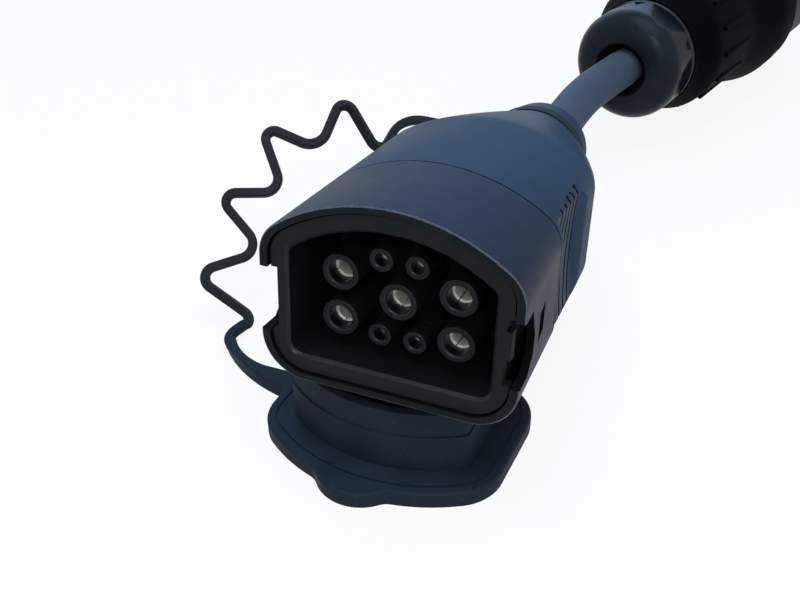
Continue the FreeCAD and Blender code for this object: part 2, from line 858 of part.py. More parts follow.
# The strap's line, ending in the ring round the coupler's neck
def strap_corners():
    turn = math.radians(strap_ring_turn)
    reach = cap_ring_radius - strap_side / 4
    middle = cover_end + cap_ring_space / 2
    on_ring = Vector(reach * math.cos(turn), middle, reach * math.sin(turn) - neck_drop)
    return [(flange_left + x, y, z) for x, y, z in strap_run] + [coupler_place.multVec(on_ring)]


# Rounded square across the strap's start, one side turned up
def strap_section(start, ahead):
    across = ahead.cross(strap_up).normalize()
    rise = across.cross(ahead).normalize()
    half = strap_side / 2
    flat = half - strap_corner
    slant = flat + strap_corner * math.sqrt(0.5)
    edges = []
    for n in range(4):
        low = start + across * half - rise * flat
        high = start + across * half + rise * flat
        edges.append(Part.LineSegment(low, high).toShape())
        corner = start + across * slant + rise * slant
        edges.append(Part.Arc(high, corner, start + across * flat + rise * half).toShape())
        across, rise = rise, across * -1
    return Part.Wire(edges)


def strap():
    points = [Vector(*p) for p in strap_corners()]
    path = bent_line(points, strap_share, "strap")
    solid = path.makePipeShell([strap_section(points[0], points[1] - points[0])], True, False)
    section = strap_side ** 2 - (4 - math.pi) * strap_corner ** 2
    print("strap length", round(path.Length, 1), "volume share", round(solid.Volume / section / path.Length, 4))
    return solid


# Tongue on the floor that narrows from the flange to the strap
def strap_root():
    tip = flange_left - 27.3
    wire = Part.Wire([
        arc((flange_left - 1, -0.3, 0), (flange_left - 15.4, 4.6, 0), (tip, 13.2, 0)),
        arc((tip, 13.2, 0), (tip - 0.1, 15.2, 0), (tip + 1.9, 15.6, 0)),
        arc((tip + 1.9, 15.6, 0), (flange_left - 19, 9.9, 0), (flange_left - 10.5, 7.2, 0)),
        line((flange_left - 10.5, 7.2, 0), (flange_left + 7, 7.2, 0)),
        line((flange_left + 7, 7.2, 0), (flange_left + 7, -5.2, 0)),
        line((flange_left + 7, -5.2, 0), (flange_left - 1, -0.3, 0)),
    ])
    return Part.Face(wire).extrude(Vector(0, 0, cap_flange))


def cap_ring():
    width = cap_ring_space - 2 * cap_ring_gap
    ring = rod(cap_ring_radius, cover_end + cap_ring_gap, width, 0, -neck_drop)
    ring = ring.cut(rod(cap_ring_hole, cover_end - 1, width + 3, 0, -neck_drop))
    ring.Placement = coupler_place
    return ring


# Dust cap: flange with pull tab and strap root, cup-shaped plug, strap and neck ring
def dust_cap():
    flange = block_along(flange_wire(cap_flange_edge, -cap_flange), cap_flange)
    tab_centre = cap_tab_reach - cap_tab_radius + hood_apex - cavity_inset - cap_plug_gap + cap_flange_edge
    flange = flange.fuse(rod(cap_tab_radius, -cap_flange, cap_flange, cap_tab_side, tab_centre))
    flange = lay_flat(flange)
    beside = cap_tab_radius + cap_tab_blend / 2
    tab_top = tab_centre + 0.9 * cap_tab_radius
    corners = [e for e in flange.Edges if upright(e) and tab_centre < e.BoundBox.YMax < tab_top]
    blends = [e for e in corners if abs(e.BoundBox.XMax) < beside]
    print("tab blends", len(blends))
    flange = flange.makeFillet(cap_tab_blend, blends)
    flange.Placement = cap_place.multiply(flange.Placement)
    flange = flange.fuse(strap_root()).removeSplitter()
    rims = [e for e in flange.Edges if e.BoundBox.ZMin > cap_flange - 0.01]
    print("rim edges", len(rims))
    flange = flange.makeFillet(cap_edge_round, rims)
    plug = cavity_block(cap_plug_gap, -cap_flange - cap_step_height, -cap_flange / 2)
    low = cavity_wire(cap_plug_gap + cap_step_inset, -cap_flange - cap_step_height)
    high = cavity_wire(cap_plug_gap + cap_plug_inset, -cap_flange - cap_plug_height)
    plug = lay_flat(plug.fuse(Part.makeLoft([high, low], True, True)))
    cup = cap_plug_gap + cap_plug_inset + cap_plug_wall
    hollow = lay_flat(cavity_block(cup, -cap_flange - cap_plug_height - 1, -cap_cup_floor))
    half = cap_groove_width / 2
    groove = block_along(flange_wire(cap_groove_edge + half, -cap_flange - 1), 1 + cap_groove_depth)
    inner = block_along(flange_wire(cap_groove_edge - half, -cap_flange - 2), 4)
    groove = lay_flat(groove.cut(inner))
    for shape in (plug, hollow, groove):
        shape.Placement = cap_place.multiply(shape.Placement)
    cap = flange.fuse(plug).cut([hollow, groove])
    return cap.fuse([strap(), cap_ring()])


def upright(edge):
    box = edge.BoundBox
    return box.XLength < 0.01 and box.YLength < 0.01


# A solid turned about the plug's axis from its outline of distance along and radius
def turned(outline):
    corners = [Vector(radius, along, 0) for along, radius in outline]
    return Part.Face(Part.makePolygon(corners + corners[:1])).revolve(Vector(0, 0, 0), Vector(0, 1, 0), 360)


def around(count, n, start=90):
    return math.radians(start + 360.0 * n / count)


# Rounded nut with a funnel mouth for the cable; broad flutes run out towards its nose
def gland_nut():
    nut = rod(nut_radius, -nut_length, nut_length)
    nose = [e for e in nut.Edges if e.BoundBox.YMax < 0.1 - nut_length]
    nut = nut.makeFillet(nut_round, nose)
    rear = [e for e in nut.Edges if e.BoundBox.YMin > -0.1]
    nut = nut.makeFillet(nut_ring_round, rear)
    nut = nut.cut(cone(nut_mouth_radius, nut_throat_radius, -nut_length, nut_funnel))
    nut = nut.cut(rod(nut_throat_radius, -nut_length, nut_length))
    nut = nut.cut(rod(nut_thread_radius, -nut_thread_length, nut_thread_length + 1))
    for n in range(nut_flute_count):
        nut = nut.cut([nut_flute(n), nut_pocket(n)])
    face = [e for e in nut.Edges if e.BoundBox.YMax < 0.1 - nut_length]
    mouth = [e for e in face if e.BoundBox.XMax < nut_mouth_radius + 0.1]
    return nut.makeFillet(nut_mouth_round, mouth)


# Flute that deepens from the nose to the ring left at the back
def nut_flute(n):
    turn = around(nut_flute_count, n, start=nut_flute_turn)
    out = Vector(math.cos(turn), 0, math.sin(turn))
    front = Vector(0, nut_flute_start - nut_length, 0) + out * nut_radius
    back = Vector(0, -nut_ring, 0) + out * (nut_radius - nut_flute_depth)
    ahead = (back - front).normalize()
    clear = (out - ahead * out.dot(ahead)).normalize() * nut_flute_radius
    start = front + clear - ahead * nut_length
    flute = Part.makeCylinder(nut_flute_radius, 3 * nut_length, start, ahead)
    return flute.common(rod(nut_radius + 1, -nut_length - 1, nut_length + 1 - nut_ring))


# Small three-cornered pocket in the land between two flutes
def nut_pocket(n):
    turn = math.degrees(around(nut_flute_count, n + 0.5, start=nut_flute_turn))
    base = nut_radius - nut_pocket_depth
    half = nut_pocket_width / 2
    back = -nut_ring - 0.8
    corners = [Vector(base, back - nut_pocket_length, 0), Vector(base, back, -half), Vector(base, back, half)]
    pocket = Part.Face(Part.makePolygon(corners + corners[:1])).extrude(Vector(nut_pocket_depth + 1, 0, 0))
    pocket.rotate(Vector(0, 0, 0), Vector(0, 1, 0), -turn)
    return pocket


spigot_front = gland_cage_flange - nut_thread_length
gland_seal_inner = cable_radius + 0.1


# Slotted cage that the nut presses into the body
def gland_cage():
    front = -nut_thread_length
    cage = rod(nut_thread_radius - piece_gap, front, gland_cage_flange)
    cage = cage.fuse(rod(gland_cage_radius, front, gland_cage_back - front))
    cage = cage.cut(rod(gland_cage_bore, front - 1, gland_cage_back - front + 2))
    for n in range(gland_cage_slots):
        turn = math.degrees(around(gland_cage_slots, n))
        slot = Part.makeBox(2 * gland_cage_radius, gland_cage_back + 1, gland_cage_slot)
        slot.translate(Vector(0, 0, -gland_cage_slot / 2))
        slot.rotate(Vector(0, 0, 0), Vector(0, 1, 0), turn)
        cage = cage.cut(slot)
    return cage


def gland_seal():
    front = gland_seal_front - nut_thread_length
    seal = rod(gland_cage_bore - fit_gap, front, gland_cage_back - front)
    return seal.cut(rod(gland_seal_inner, front - 1, gland_cage_back - front + 2))


plug_flare_end = plug_end - plug_rim_length
plug_grip_end = plug_flare_end - plug_flare_length
carrier_front = plug_end - carrier_set_in
shroud_front = plug_end - shroud_set_in


# Body: threaded spigot, collar, shoulder, ribbed grip, flare and rim
def plug_body():
    seat_bore = carrier_radius + fit_gap
    shroud_bore = shroud_radius + fit_gap
    spigot = nut_thread_radius - 0.1
    outline = [(spigot_front, spigot), (0, spigot), (0, collar_radius), (collar_length, collar_radius)]
    outline += [(shoulder_end, shoulder_radius), (plug_grip_end, grip_mid_radius)]
    outline += [(plug_flare_end, plug_rest_radius), (plug_end, plug_rest_radius)]
    outline += [(plug_end, shroud_bore), (shroud_front, shroud_bore), (shroud_front, seat_bore)]
    outline += [(carrier_front, seat_bore), (carrier_front, carrier_seat), (carrier_front - 3, carrier_seat)]
    outline += [(plug_grip_end, grip_mid_radius - plug_wall), (shoulder_end + 2, shoulder_radius - plug_wall)]
    outline += [(gland_cage_back + 2, collar_radius - plug_wall), (gland_cage_back + 1, spigot_bore)]
    outline += [(spigot_front, spigot_bore)]
    body = turned(outline)
    ribs = []
    start = shoulder_end + plug_rib_margin
    middle = (shoulder_radius + grip_mid_radius) / 2
    for n in range(plug_rib_count):
        turn = around(plug_rib_count, n)
        x = middle * math.cos(turn)
        z = middle * math.sin(turn)
        ribs.append(rod(plug_rib_radius, start, plug_grip_end - plug_rib_margin - start, x, z))
    body = body.fuse(ribs)
    return body.cut(shroud_screw_bores())


def shroud_screw(n, grow, head_radius, length, head):
    turn = around(shroud_screw_count, n)
    out = Vector(math.cos(turn), 0, math.sin(turn))
    place = Vector(0, plug_end - shroud_screw_back, 0)
    top = plug_rest_radius - head
    shank = Part.makeCylinder(shroud_screw_radius + grow, length, place + out * top, out * -1)
    cap = Part.makeCylinder(head_radius, head + grow, place + out * top, out)
    return shank.fuse(cap)


shroud_head = 1.5


def shroud_screw_bores():
    return [shroud_screw(n, fit_gap, shroud_screw_head + fit_gap, shroud_screw_length, shroud_head)
            for n in range(shroud_screw_count)]


def shroud_screws():
    screws = []
    for n in range(shroud_screw_count):
        screw = shroud_screw(n, 0, shroud_screw_head, shroud_screw_length - 0.5, shroud_head)
        turn = around(shroud_screw_count, n)
        out = Vector(math.cos(turn), 0, math.sin(turn))
        middle = Vector(0, plug_end - shroud_screw_back, 0) + out * plug_rest_radius
        drive = Part.makeCylinder(shroud_screw_head / 2, shroud_head / 2, middle, out * -1)
        screws.append(screw.cut(drive))
    return Part.makeCompound(screws)


# Shroud round the pins, with the ledge that holds the carrier and the key rib below
def plug_shroud():
    inner = shroud_radius - shroud_wall
    shroud = rod(shroud_radius, shroud_front, shroud_length)
    shroud = shroud.cut(rod(inner, shroud_front - 1, shroud_length + 2))
    front = carrier_front + carrier_thickness
    ledge = rod(inner + 0.5, front, shroud_ledge).cut(rod(inner - shroud_ledge, front - 1, shroud_ledge + 2))
    key_length = shroud_front + shroud_length - plug_end - 2
    key = Part.makeBox(shroud_key_width, key_length, shroud_key_height + 1)
    key.translate(Vector(-shroud_key_width / 2, plug_end + 2, -shroud_radius - shroud_key_height))
    return shroud.fuse([ledge, key]).cut(shroud_screw_bores())


pin_names = ["earth_pin", "phase_pin_1", "phase_pin_2", "phase_pin_3", "neutral_pin"]


def pin_spot(n):
    turn = around(len(pin_names), n, start=-90)
    return (pin_circle * math.cos(turn), pin_circle * math.sin(turn))


def pin_size(n):
    return earth_radius if n == 0 else pin_radius


def pin_carrier():
    carrier = rod(carrier_radius, carrier_front, carrier_thickness)
    cuts = []
    for n in range(len(pin_names)):
        x, z = pin_spot(n)
        cuts.append(rod(pin_size(n) + pin_shank + fit_gap, carrier_front - 1, carrier_thickness + 2, x, z))
        cuts.append(rod(pin_size(n) + pin_collar + fit_gap, carrier_front - 1, pin_collar_length + 1, x, z))
    return carrier.cut(cuts)


# Pin on a thicker shank, whose collar sits in the carrier and whose tail takes the terminal screw
def plug_pin(n):
    x, z = pin_spot(n)
    radius = pin_size(n)
    start = carrier_front - pin_tail
    face = carrier_front + carrier_thickness
    pin = rod(radius, face, pin_length, x, z)
    tip = [e for e in pin.Edges if e.BoundBox.YMin > face + pin_length - 0.01]
    pin = pin.makeFillet(pin_round, tip)
    pin = pin.fuse(rod(radius + pin_shank, start, face - start, x, z))
    pin = pin.fuse(rod(radius + pin_collar, carrier_front, pin_collar_length, x, z))
    return pin.cut(terminal_rod(n, terminal_radius + fit_gap, 2 * terminal_length))


def terminal_rod(n, radius, length, lift=0.0):
    x, z = pin_spot(n)
    out = Vector(x, 0, z).normalize()
    start = out * (pin_circle + pin_size(n) + pin_shank - terminal_depth + lift)
    return Part.makeCylinder(radius, length, start + Vector(0, carrier_front - pin_tail / 2, 0), out)


def terminal_screws():
    screws = []
    for n in range(len(pin_names)):
        screw = terminal_rod(n, terminal_radius, terminal_length)
        screws.append(screw.cut(terminal_rod(n, terminal_radius / 2, terminal_length, terminal_length - 1)))
    return Part.makeCompound(screws)


# Cores from the cable's other end to the pins
def plug_wires():
    cores = []
    back = carrier_front - pin_tail
    for n in range(len(pin_names)):
        x, z = pin_spot(n)
        core_x, core_z = core_ring * x / pin_circle, core_ring * z / pin_circle
        points = [(core_x, cable_in_plug, core_z), (core_x, cable_in_plug + core_bend, core_z)]
        points += [(x, back - core_bend, z), (x, back, z)]
        cores.append(tube(points, core_radius, "core to " + pin_names[n]))
    return Part.makeCompound(cores)


keep("front_hood", front_hood(), coupler_place)
keep("socket_insert", socket_insert(), coupler_place)
keep("contact_retainer", contact_retainer(), coupler_place)
keep("retainer_screws", retainer_screws(), coupler_place)
keep("coding_board", coding_board(), coupler_place)
keep("housing_seal", housing_seal(), coupler_place)
for spot in power_spots:
    keep("power_contact_" + spot, power_contact(spot), coupler_place)
for spot in signal_spots:
    keep("signal_contact_" + spot, signal_contact(spot), coupler_place)
keep("rear_cover", rear_cover(), coupler_place)
keep("cover_screws", cover_screws(), coupler_place)
keep("strain_relief", strain_relief(), coupler_place)
keep("cable_clamp", cable_clamp(), coupler_place)
keep("clamp_screws", clamp_screws(), coupler_place)
keep("coupler_wires", coupler_wires(), coupler_place)
keep("cable", cable(), Placement())
keep("dust_cap", dust_cap(), Placement())
keep("gland_nut", gland_nut(), plug_place)
keep("gland_cage", gland_cage(), plug_place)
keep("gland_seal", gland_seal(), plug_place)
keep("plug_body", plug_body(), plug_place)
keep("plug_shroud", plug_shroud(), plug_place)
keep("shroud_screws", shroud_screws(), plug_place)
keep("pin_carrier", pin_carrier(), plug_place)
for n, name in enumerate(pin_names):
    keep(name, plug_pin(n), plug_place)
keep("terminal_screws", terminal_screws(), plug_place)
keep("plug_wires", plug_wires(), plug_place)

for name, shape in pieces.items():
    shape.exportStep("parts/" + name + ".step")
    box = shape.BoundBox
    print(name, shape.isValid(), len(shape.Solids), round(shape.Volume), [round(v, 1) for v in
          (box.XMin, box.YMin, box.ZMin, box.XMax, box.YMax, box.ZMax)])
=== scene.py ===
import bpy
import json
import math
from mathutils import Matrix, Vector

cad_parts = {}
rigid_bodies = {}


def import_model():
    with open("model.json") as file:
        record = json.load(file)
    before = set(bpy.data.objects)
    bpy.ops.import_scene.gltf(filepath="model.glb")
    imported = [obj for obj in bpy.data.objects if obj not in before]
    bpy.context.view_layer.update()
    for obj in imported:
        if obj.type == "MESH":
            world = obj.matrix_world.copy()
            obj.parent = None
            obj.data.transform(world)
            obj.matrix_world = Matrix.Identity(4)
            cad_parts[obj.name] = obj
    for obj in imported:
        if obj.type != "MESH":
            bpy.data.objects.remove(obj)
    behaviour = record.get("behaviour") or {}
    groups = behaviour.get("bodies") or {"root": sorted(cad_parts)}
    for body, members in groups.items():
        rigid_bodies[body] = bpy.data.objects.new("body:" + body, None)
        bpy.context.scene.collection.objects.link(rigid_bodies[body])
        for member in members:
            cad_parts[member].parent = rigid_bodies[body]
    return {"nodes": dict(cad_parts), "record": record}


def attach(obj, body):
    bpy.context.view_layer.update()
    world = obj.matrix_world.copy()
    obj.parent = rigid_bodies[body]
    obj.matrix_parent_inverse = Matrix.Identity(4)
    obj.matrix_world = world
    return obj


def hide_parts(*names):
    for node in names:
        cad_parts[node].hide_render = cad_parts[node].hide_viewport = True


# Electric vehicle charging adapter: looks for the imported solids.
# Lengths are metres, turns are degrees, colours are linear.

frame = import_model()
nodes = frame["nodes"]
for thing in list(bpy.data.objects):  # the start-up cube, lamp and camera
    if thing.name not in nodes and not thing.name.startswith("body:"):
        bpy.data.objects.remove(thing)
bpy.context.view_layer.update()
print("loaded", len(nodes), "nodes")


def deselectAll():
    if bpy.context.object and bpy.context.object.mode != "OBJECT":
        bpy.ops.object.mode_set(mode="OBJECT")
    bpy.ops.object.select_all(action="DESELECT")


def pick(obj):
    deselectAll()
    obj.select_set(True)
    bpy.context.view_layer.objects.active = obj


# Camera at the photograph's angle
camera = {
    "place": (0.08577, -0.20080, 0.19743), "turn": (54.931, 0.945, 22.049), "lens": 46.2, "sensor": 36,
    "near": 0.01, "far": 20,
}


def addCamera(setting):
    bpy.ops.object.camera_add(location=setting["place"])
    cam = bpy.context.object
    cam.name = "camera"
    cam.rotation_mode = "XYZ"
    cam.rotation_euler = [math.radians(a) for a in setting["turn"]]
    cam.data.sensor_width = setting["sensor"]
    cam.data.lens = setting["lens"]
    cam.data.clip_start = setting["near"]
    cam.data.clip_end = setting["far"]
    cam.data.dof.use_dof = False
    bpy.context.scene.camera = cam


# Soft area lamps: a wide blue one behind, a pale one above, two weak ones in front
lamps = {
    "sky": {
        "place": (-0.85, 2.1, 1.25), "aim": (0.0, 0.05, 0.05), "size": (3.6, 1.7),
        "watts": 32, "colour": (0.15, 0.50, 1.0),
    },
    "key": {
        "place": (0.10, -0.15, 1.60), "aim": (0.0, 0.08, 0.0), "size": (1.2, 1.2),
        "watts": 20, "colour": (0.78, 0.90, 1.0),
    },
    "side": {
        "place": (1.3, -0.5, 0.7), "aim": (0.02, 0.02, 0.03), "size": (0.7, 0.7),
        "watts": 0.45, "colour": (1.0, 0.95, 0.88),
    },
    "front": {
        "place": (0.30, -0.72, 0.66), "aim": (0.0, 0.0, 0.05), "size": (0.25, 0.25),
        "watts": 3.4, "colour": (1.0, 0.98, 0.95),
    },
}


def addLamp(name, setting):
    place = Vector(setting["place"])
    bpy.ops.object.light_add(type="AREA", location=place)
    lamp = bpy.context.object
    lamp.name = name
    lamp.rotation_euler = (Vector(setting["aim"]) - place).to_track_quat("-Z", "Y").to_euler()
    lamp.data.shape = "RECTANGLE"
    lamp.data.size, lamp.data.size_y = setting["size"]
    lamp.data.energy = setting["watts"]
    lamp.data.color = setting["colour"]


# 1 for what the camera sees straight, mirrored or through a gap, where the background shows white
def seenDirectly(tree):
    path = tree.nodes.new("ShaderNodeLightPath")
    seen = path.outputs["Is Camera Ray"]
    for kind in ("Is Glossy Ray", "Is Transmission Ray"):
        either = tree.nodes.new("ShaderNodeMath")
        either.operation = "MAXIMUM"
        tree.links.new(seen, either.inputs[0])
        tree.links.new(path.outputs[kind], either.inputs[1])
        seen = either.outputs[0]
    return seen


floor = {"size": 12.0, "drop": 0.00004, "colour": (0.82, 0.82, 0.82, 1), "glow": 0.90}


# The floor is part paper, which keeps the shadow, and part white
def addFloor(setting):
    bpy.ops.mesh.primitive_plane_add(size=setting["size"], location=(0, 0, -setting["drop"]))
    plane = bpy.context.object
    plane.name = "floor"
    mat = bpy.data.materials.new("paleFloor")
    mat.use_nodes = True
    tree = mat.node_tree
    tree.nodes.clear()
    out = tree.nodes.new("ShaderNodeOutputMaterial")
    paper = tree.nodes.new("ShaderNodeBsdfDiffuse")
    paper.inputs["Color"].default_value = setting["colour"]
    white = tree.nodes.new("ShaderNodeEmission")
    white.inputs["Color"].default_value = (1, 1, 1, 1)
    white.inputs["Strength"].default_value = 1
    share = tree.nodes.new("ShaderNodeMath")
    share.operation = "MULTIPLY"
    share.inputs[1].default_value = setting["glow"]
    tree.links.new(seenDirectly(tree), share.inputs[0])
    both = tree.nodes.new("ShaderNodeMixShader")
    tree.links.new(share.outputs[0], both.inputs[0])
    tree.links.new(paper.outputs[0], both.inputs[1])
    tree.links.new(white.outputs[0], both.inputs[2])
    tree.links.new(both.outputs[0], out.inputs["Surface"])
    plane.data.materials.append(mat)


world = {"colour": (0.68, 0.82, 1.0, 1), "strength": 0.22}


def addWorld(setting):
    sky = bpy.data.worlds.new("sky")
    bpy.context.scene.world = sky
    sky.use_nodes = True
    tree = sky.node_tree
    back = tree.nodes["Background"]
    back.inputs["Color"].default_value = setting["colour"]
    back.inputs["Strength"].default_value = setting["strength"]
    white = tree.nodes.new("ShaderNodeBackground")
    white.inputs["Color"].default_value = (1, 1, 1, 1)
    white.inputs["Strength"].default_value = 1
    both = tree.nodes.new("ShaderNodeMixShader")
    tree.links.new(seenDirectly(tree), both.inputs[0])
    tree.links.new(back.outputs[0], both.inputs[1])
    tree.links.new(white.outputs[0], both.inputs[2])
    tree.links.new(both.outputs[0], tree.nodes["World Output"].inputs["Surface"])


addCamera(camera)
for name, setting in lamps.items():
    addLamp(name, setting)
addFloor(floor)
addWorld(world)
bpy.context.scene.view_settings.view_transform = "Standard"
print("camera, floor and lamps are in place")


# A material's nodes, with short ways to add and join them
class Tree:

    def __init__(self, name):
        self.mat = bpy.data.materials.new(name)
        self.mat.use_nodes = True
        self.tree = self.mat.node_tree
        self.tree.nodes.clear()
        self.out = self.add("ShaderNodeOutputMaterial")
        self.shader = self.add("ShaderNodeBsdfPrincipled")
        self.join(self.shader.outputs["BSDF"], self.out.inputs["Surface"])
        self.coords = self.add("ShaderNodeTexCoord").outputs["Object"]

    def add(self, kind, **values):
        node = self.tree.nodes.new(kind)
        for key, value in values.items():
            if key in node.inputs.keys():
                node.inputs[key].default_value = value
            else:
                setattr(node, key, value)
        return node

    def join(self, a, b):
        self.tree.links.new(a, b)

    def placed(self, scale, turn=(0, 0, 0)):
        node = self.add("ShaderNodeMapping")
        node.inputs["Scale"].default_value = scale
        node.inputs["Rotation"].default_value = [math.radians(a) for a in turn]
        self.join(self.coords, node.inputs["Vector"])
        return node.outputs["Vector"]

    def noise(self, scale, detail, rough, vector=None):
        node = self.add("ShaderNodeTexNoise", Scale=scale, Detail=detail, Roughness=rough)
        self.join(vector or self.coords, node.inputs["Vector"])
        return node.outputs["Fac"]

    def ramp(self, fac, stops):
        node = self.add("ShaderNodeValToRGB")
        for mark, (place, colour) in zip(node.color_ramp.elements, stops):
            mark.position = place
            mark.color = (*colour, 1)
        self.join(fac, node.inputs["Fac"])
        return node.outputs["Color"]

    def span(self, fac, low, high, fromLow=0.3, fromHigh=0.7):
        node = self.add("ShaderNodeMapRange")
        ends = {"From Min": fromLow, "From Max": fromHigh, "To Min": low, "To Max": high}
        for key, value in ends.items():
            node.inputs[key].default_value = value
        self.join(fac, node.inputs["Value"])
        return node.outputs["Result"]

    def mix(self, fac, a, b, kind="MIX"):
        node = self.add("ShaderNodeMix", data_type="RGBA", blend_type=kind)
        self.join(fac, node.inputs[0])
        self.join(a, node.inputs[6])  # 6 and 7 are the two colours
        self.join(b, node.inputs[7])
        return node.outputs[2]

    def blend(self, fac, a, end):
        node = self.add("ShaderNodeMix", data_type="FLOAT")
        self.join(fac, node.inputs[0])
        self.join(a, node.inputs[2])
        node.inputs[3].default_value = end
        return node.outputs[0]

    def bump(self, height, distance, strength, after=None):
        node = self.add("ShaderNodeBump", Strength=strength, Distance=distance)
        self.join(height, node.inputs["Height"])
        if after is not None:
            self.join(after, node.inputs["Normal"])
        return node.outputs["Normal"]


# Where the noise of each kind turns from one tone to the other, and how the rubbed scratches run
plasticGrade = {
    "flow": (0.34, 0.66), "dusty": (0.66, 0.74), "dustShow": 0.5, "rubbed": (0.60, 0.72),
    "scratch": (1, 14, 3), "scratchTurn": (20, 0, 35),
}


# Spark-eroded grain, faint flow patches, dust specks and fine rubbed scratches
def mouldedPlastic(name, look):
    grade = plasticGrade
    flowLow, flowHigh = grade["flow"]
    dustLow, dustHigh = grade["dusty"]
    t = Tree(name)
    patches = t.noise(look["patch"], 4, 0.55)
    body = t.ramp(patches, [(flowLow, look["dark"]), (flowHigh, look["light"])])
    specks = t.noise(look["speck"], 2, 0.4)
    dusty = t.ramp(specks, [(dustLow, (0, 0, 0)), (dustHigh, look["dust"])])
    body = t.mix(t.span(specks, 0, grade["dustShow"], dustLow, dustHigh), body, dusty, "ADD")
    rubbed = t.noise(look["rub"], 2, 0.6, t.placed(grade["scratch"], grade["scratchTurn"]))
    pale = t.ramp(rubbed, [(0, look["dust"]), (1, look["dust"])])
    body = t.mix(t.span(rubbed, 0, look["rubShow"], *grade["rubbed"]), body, pale, "ADD")
    rough = t.span(patches, look["smooth"], look["rough"])
    # Marked faces take their own tones: painted shade in hollows, a painted highlight on rounded edges, a
    # painted tone for the light on faces toward the front, and the strap's own tone
    for zone in ("strapTone", "front", "inner", "edge"):
        if zone in look:  # the piece's own face marks
            mark = t.add("ShaderNodeAttribute", attribute_name=zone).outputs["Fac"]
            low, high = look[zone]
            body = t.mix(mark, body, t.ramp(patches, [(flowLow, low), (flowHigh, high)]))
            rough = t.blend(mark, rough, look[zone + "Rough"])
    t.join(body, t.shader.inputs["Base Color"])
    t.join(rough, t.shader.inputs["Roughness"])
    t.shader.inputs["Specular IOR Level"].default_value = look["shine"]
    grain = t.noise(look["grain"], 3, 0.6)
    fine = t.bump(grain, look["depth"], 0.6)
    wavy = t.noise(look["wave"], 2, 0.4)
    t.join(t.bump(wavy, look["waveDepth"], 0.5, fine), t.shader.inputs["Normal"])
    return t.mat


# Low shine, because the white background shows in it
# The navy in these dark tones, and the paler blue of the cover, strain relief and cable, is painted
# reflection of the blue sky on near-black plastic; the blue sky lamp adds the real reflection
plainLook = {
    "dark": (0.0040, 0.0112, 0.0270), "light": (0.0066, 0.0162, 0.0360), "dust": (0.018, 0.025, 0.034),
    "patch": 55, "speck": 900, "rub": 90, "rubShow": 0.14, "smooth": 0.40, "rough": 0.50, "shine": 0.07,
    "grain": 2600, "depth": 0.00006, "wave": 45, "waveDepth": 0.0004,
    # Near-black painted shade for walls that look inward, gaps, bores, grooves and the nut's mouth
    "inner": ((0.0008, 0.0010, 0.0014), (0.0012, 0.0015, 0.0020)), "innerRough": 0.85,
}
hoodLook = dict(
    plainLook,
    # Faces that look forward at the lip: a greyer painted tone without the painted sky blue, for how the
    # light falls there
    front=((0.0062, 0.0076, 0.0094), (0.0090, 0.0108, 0.0132)), frontRough=0.50,
    # Rounded edges: a pale painted highlight, kept glossy
    edge=((0.055, 0.066, 0.080), (0.100, 0.115, 0.132)), edgeRough=0.30,
)
coverLook = dict(
    hoodLook, dark=(0.0125, 0.0300, 0.0600), light=(0.0170, 0.0395, 0.0760),
    patch=48, wave=38, shine=0.04,
    # The cover's rounded edges: a fainter, bluer painted highlight
    edge=((0.020, 0.036, 0.060), (0.034, 0.052, 0.080)),
)
insertLook = dict(
    plainLook, dark=(0.0010, 0.0012, 0.0016), light=(0.0016, 0.0018, 0.0024),
    smooth=0.66, rough=0.76, shine=0.14, rubShow=0.1,
    # Faces that look forward at the socket face: a lighter painted tone for the light that falls on them
    front=((0.0038, 0.0044, 0.0052), (0.0062, 0.0070, 0.0081)), frontRough=0.55, innerRough=0.30,
    # The socket's rounded edges and rims: a faint painted highlight
    edge=((0.008, 0.010, 0.013), (0.016, 0.019, 0.023)), edgeRough=0.26,
)
innerLook = dict(
    plainLook, dark=(0.030, 0.030, 0.032), light=(0.040, 0.040, 0.042), smooth=0.48, rough=0.58, shine=0.2,
)
nutLook = dict(
    plainLook, dark=(0.0075, 0.0125, 0.0175), light=(0.0105, 0.0165, 0.0225), smooth=0.22, rough=0.30,
)
bodyLook = dict(
    plainLook, dark=(0.0006, 0.0012, 0.0022), light=(0.0012, 0.0018, 0.0028), dust=(0.002, 0.003, 0.005),
    smooth=0.60, rough=0.70, shine=0.02,
)
shroudLook = dict(
    plainLook, dark=(0.0085, 0.0092, 0.0110), light=(0.0120, 0.0130, 0.0150), smooth=0.44, rough=0.54,
)
capLook = dict(
    plainLook, dark=(0.0120, 0.0185, 0.0280), light=(0.0165, 0.0240, 0.0355),
    patch=70, smooth=0.50, rough=0.62, shine=0.05, grain=1900, depth=0.00008, speck=700,
)
mouldingLook = dict(
    # The redrawn strap's faces: a greyer, less blue tone of their own
    capLook, strapTone=((0.0150, 0.0180, 0.0215), (0.0220, 0.0255, 0.0295)), strapToneRough=0.55,
)
reliefLook = dict(
    capLook, dark=(0.0100, 0.0270, 0.0540), light=(0.0140, 0.0340, 0.0660), shine=0.1,
)
sealLook = dict(
    capLook, dark=(0.0030, 0.0032, 0.0036), light=(0.0050, 0.0052, 0.0058), shine=0.2,
)
jacketLook = dict(
    capLook, dark=(0.048, 0.068, 0.098), light=(0.062, 0.086, 0.122),
    shine=0.08, patch=60, smooth=0.52, rough=0.64, grain=1500,
)
boardLook = dict(plainLook, dark=(0.010, 0.075, 0.030), light=(0.016, 0.100, 0.042))
coreLook = dict(capLook, dark=(0.030, 0.022, 0.018), light=(0.042, 0.030, 0.024))


